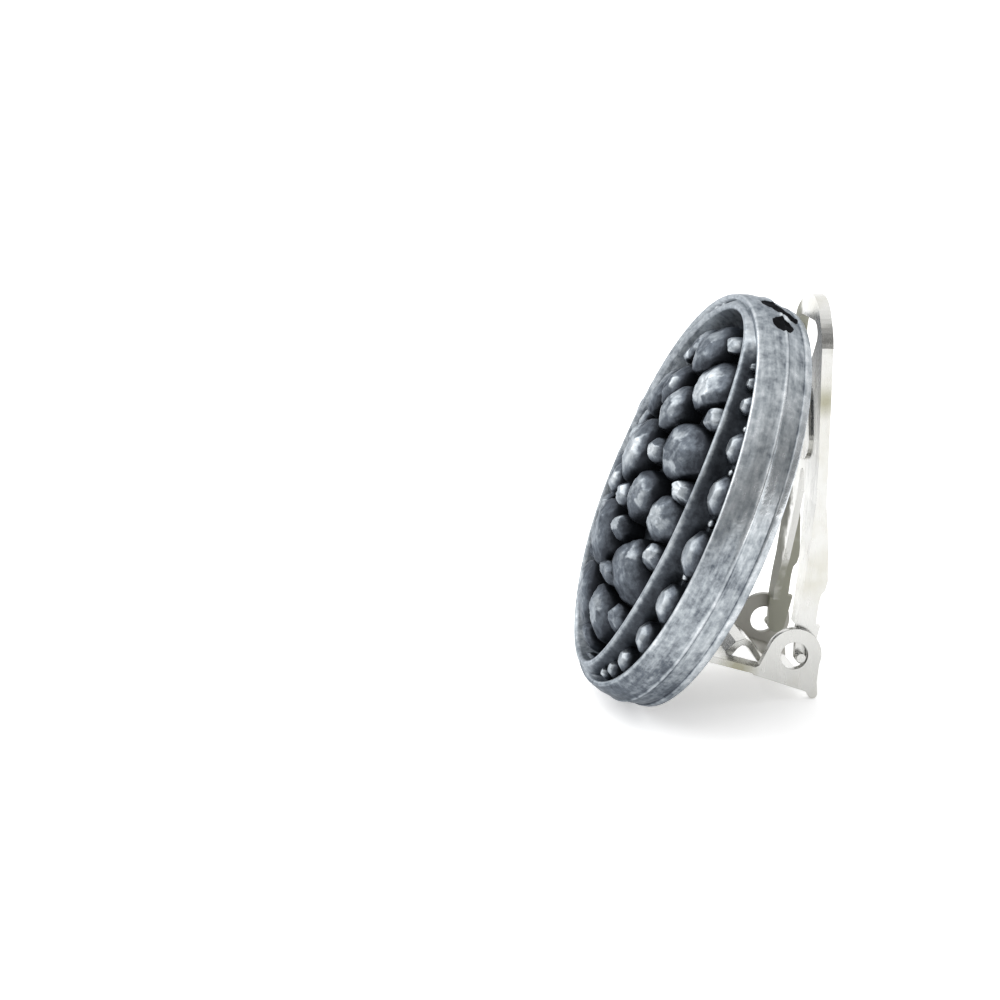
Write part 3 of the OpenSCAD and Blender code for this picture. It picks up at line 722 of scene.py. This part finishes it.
def nickel(name, clean, far_shade_colour, patch_at):
    """Nickel plate with faint drawing marks and pale stains, painted shade in dull olive-grey on the
    side away from the camera, and one dark tarnished patch."""
    mat, nodes, links, shader = new_material(name)
    place = nodes.new("ShaderNodeTexCoord").outputs["Object"]
    drawn = mapping_node(nodes, links, place, scale=(1, 1, 0.15))
    marks = noise_node(nodes, links, drawn, 3000, 3, 0.6)
    stain = noise_node(nodes, links, place, 420, 4, 0.6)
    tone = ramp(nodes, links, marks, [(0.3, tuple(0.93 * c for c in clean)), (0.7, clean)])

    def math2(operation, a, b, c=None):
        return math_node(nodes, links, operation, a, b, c)

    stains = ramp(nodes, links, stain, [(0.45, 0.0), (0.72, 1.0)])
    tone = mix_colour(nodes, links, stains, tone, STAINED)
    parts = nodes.new("ShaderNodeSeparateXYZ")
    links.new(place, parts.inputs[0])
    # Painted shade: darker, duller olive-grey towards -X, the side away from the camera, where the clip's
    # sheets shade each other
    across = math2("MULTIPLY_ADD", parts.outputs[0], -FAR_SHADE_GROWTH, math2("MULTIPLY", stain, 0.5))
    far_shade = ramp(nodes, links, across, [(0.36, 0.0), (0.45, 1.0)])
    tone = mix_colour(nodes, links, far_shade, tone, far_shade_colour)
    reach = nodes.new("ShaderNodeVectorMath")
    reach.operation = "DISTANCE"
    reach.inputs[1].default_value = patch_at
    links.new(place, reach.inputs[0])
    away = math2("MULTIPLY_ADD", reach.outputs["Value"], PATCH_FALL, math2("MULTIPLY", stain, 0.8))
    patch = ramp(nodes, links, away, [(0.5, 0.9), (1.0, 0.0)])
    links.new(mix_colour(nodes, links, patch, tone, TARNISHED), shader.inputs["Base Color"])
    links.new(math2("MULTIPLY_ADD", far_shade, -0.85, 1.0), shader.inputs["Metallic"])
    sheen = ramp(nodes, links, marks, [(0.3, 0.2), (0.7, 0.3)])
    links.new(math2("MULTIPLY_ADD", far_shade, 0.3, sheen), shader.inputs["Roughness"])
    links.new(bump_node(nodes, links, marks, 0.2, 0.00002), shader.inputs["Normal"])
    return mat


# Pieces

disc = moulded_disc()
disc.data.materials.append(gunmetal())
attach(disc, "earring")
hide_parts("moulded_disc")

# The clip's two pieces: clean metal, the painted shade's olive-grey for the side away from the
# camera, and the middle of the tarnished patch, which lies on the near side of the base's leg
# and near the lever's head
CLIP = [
    ("clip_base", (0.60, 0.60, 0.58), (0.50, 0.49, 0.45), stand(3.65, -7.6, -4.0)),
    ("clip_lever", (0.64, 0.64, 0.62), (0.34, 0.34, 0.28), stand(3.1, 8.2, -2.7)),
]

for name, clean, far_shade_colour, patch_at in CLIP:
    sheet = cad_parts[name]
    sheet.data.materials.clear()
    sheet.data.materials.append(nickel(name + "_nickel", clean, far_shade_colour, patch_at))
    weld = sheet.modifiers.new("weld", "WELD")
    weld.merge_threshold = 0.000002
    flat = sheet.modifiers.new("flat", "DECIMATE")
    flat.decimate_type = "DISSOLVE"
    flat.angle_limit = math.radians(1)
    edge = sheet.modifiers.new("edge", "BEVEL")
    edge.width = 0.00006
    edge.segments = 3
    edge.limit_method = "ANGLE"
    edge.angle_limit = math.radians(35)
    edge.harden_normals = True


# Stage


def floor_and_light():
    """A pale floor that fills the view, an even sky that fades to the horizon, and one broad
    soft light from the front, upper left."""
    bpy.ops.mesh.primitive_plane_add(size=40)
    floor = bpy.context.object
    floor.name = "floor"
    mat, nodes, links, shader = new_material("pale_table")
    place = nodes.new("ShaderNodeTexCoord").outputs["Object"]
    paper = noise_node(nodes, links, place, 600, 2, 0.5)
    links.new(ramp(nodes, links, paper, [(0.3, 0.93), (0.7, 0.95)]), shader.inputs["Base Color"])
    shader.inputs["Roughness"].default_value = 0.9
    shader.inputs["Emission Color"].default_value = (1, 1, 1, 1)
    shader.inputs["Emission Strength"].default_value = 0.42
    floor.data.materials.append(mat)
    world = bpy.data.worlds.new("studio")
    world.use_nodes = True
    nodes, links = world.node_tree.nodes, world.node_tree.links
    direction = nodes.new("ShaderNodeTexCoord").outputs["Generated"]
    toward_light = nodes.new("ShaderNodeVectorMath")
    toward_light.operation = "DOT_PRODUCT"
    toward_light.inputs[1].default_value = (-0.7, -0.3, 0.65)
    links.new(direction, toward_light.inputs[0])
    height = math_node(nodes, links, "MULTIPLY_ADD", toward_light.outputs["Value"], 0.5, 0.5)
    sky = ramp(nodes, links, height, [(0.15, 0.1), (0.4, 0.35), (0.6, 0.8), (0.85, 1.0)])
    links.new(sky, nodes["Background"].inputs[0])
    nodes["Background"].inputs[1].default_value = 1.35
    bpy.context.scene.world = world
    sun = bpy.data.lights.new("softbox", "SUN")
    sun.energy = 0.9
    sun.angle = math.radians(60)
    obj = bpy.data.objects.new("softbox", sun)
    obj.rotation_euler = Vector((0.35, 0.75, -1.0)).to_track_quat("-Z", "Y").to_euler()
    bpy.context.scene.collection.objects.link(obj)


def add_camera():
    """Stands the camera at the fitted place and turns it until the disc's back centre falls
    on its pixel."""
    centre = stand(0, 0, 0)
    toward = Vector((
        math.sin(EYE_AZIMUTH) * math.cos(EYE_ELEVATION),
        -math.cos(EYE_AZIMUTH) * math.cos(EYE_ELEVATION),
        math.sin(EYE_ELEVATION),
    ))
    eye = centre + toward * EYE_DISTANCE * MM
    off_x = DISC_CENTRE_PX[0] - FRAME_PX / 2
    off_y = FRAME_PX / 2 - DISC_CENTRE_PX[1]
    focal_px = PX_PER_MM * EYE_DISTANCE
    off_axis = math.atan(math.hypot(off_x, off_y) / focal_px)
    focal_px *= math.cos(off_axis) ** 1.25
    yaw, pitch = 0.0, 0.0
    for _ in range(12):
        heading = Vector((-toward.x, -toward.y, 0)).normalized()
        tilt = math.asin(-toward.z)
        heading = Matrix.Rotation(yaw, 3, "Z") @ heading
        forward = heading * math.cos(tilt + pitch) + Vector((0, 0, math.sin(tilt + pitch)))
        right = forward.cross(Vector((0, 0, 1))).normalized()
        up = right.cross(forward)
        right, up = (
            right * math.cos(EYE_ROLL) + up * math.sin(EYE_ROLL),
            up * math.cos(EYE_ROLL) - right * math.sin(EYE_ROLL),
        )
        ray = centre - eye
        depth = ray.dot(forward)
        miss_x = off_x - focal_px * ray.dot(right) / depth
        miss_y = off_y - focal_px * ray.dot(up) / depth
        yaw += miss_x / focal_px
        pitch -= miss_y / focal_px
    camera = bpy.data.cameras.new("camera")
    camera.sensor_fit = "HORIZONTAL"
    camera.sensor_width = 36
    camera.lens = focal_px / FRAME_PX * camera.sensor_width
    camera.clip_start = 0.01
    obj = bpy.data.objects.new("camera", camera)
    obj.matrix_world = Matrix.Translation(eye) @ Matrix((right, up, -forward)).transposed().to_4x4()
    bpy.context.scene.collection.objects.link(obj)
    bpy.context.scene.camera = obj


floor_and_light()
add_camera()
bpy.context.scene.view_settings.view_transform = "Standard"
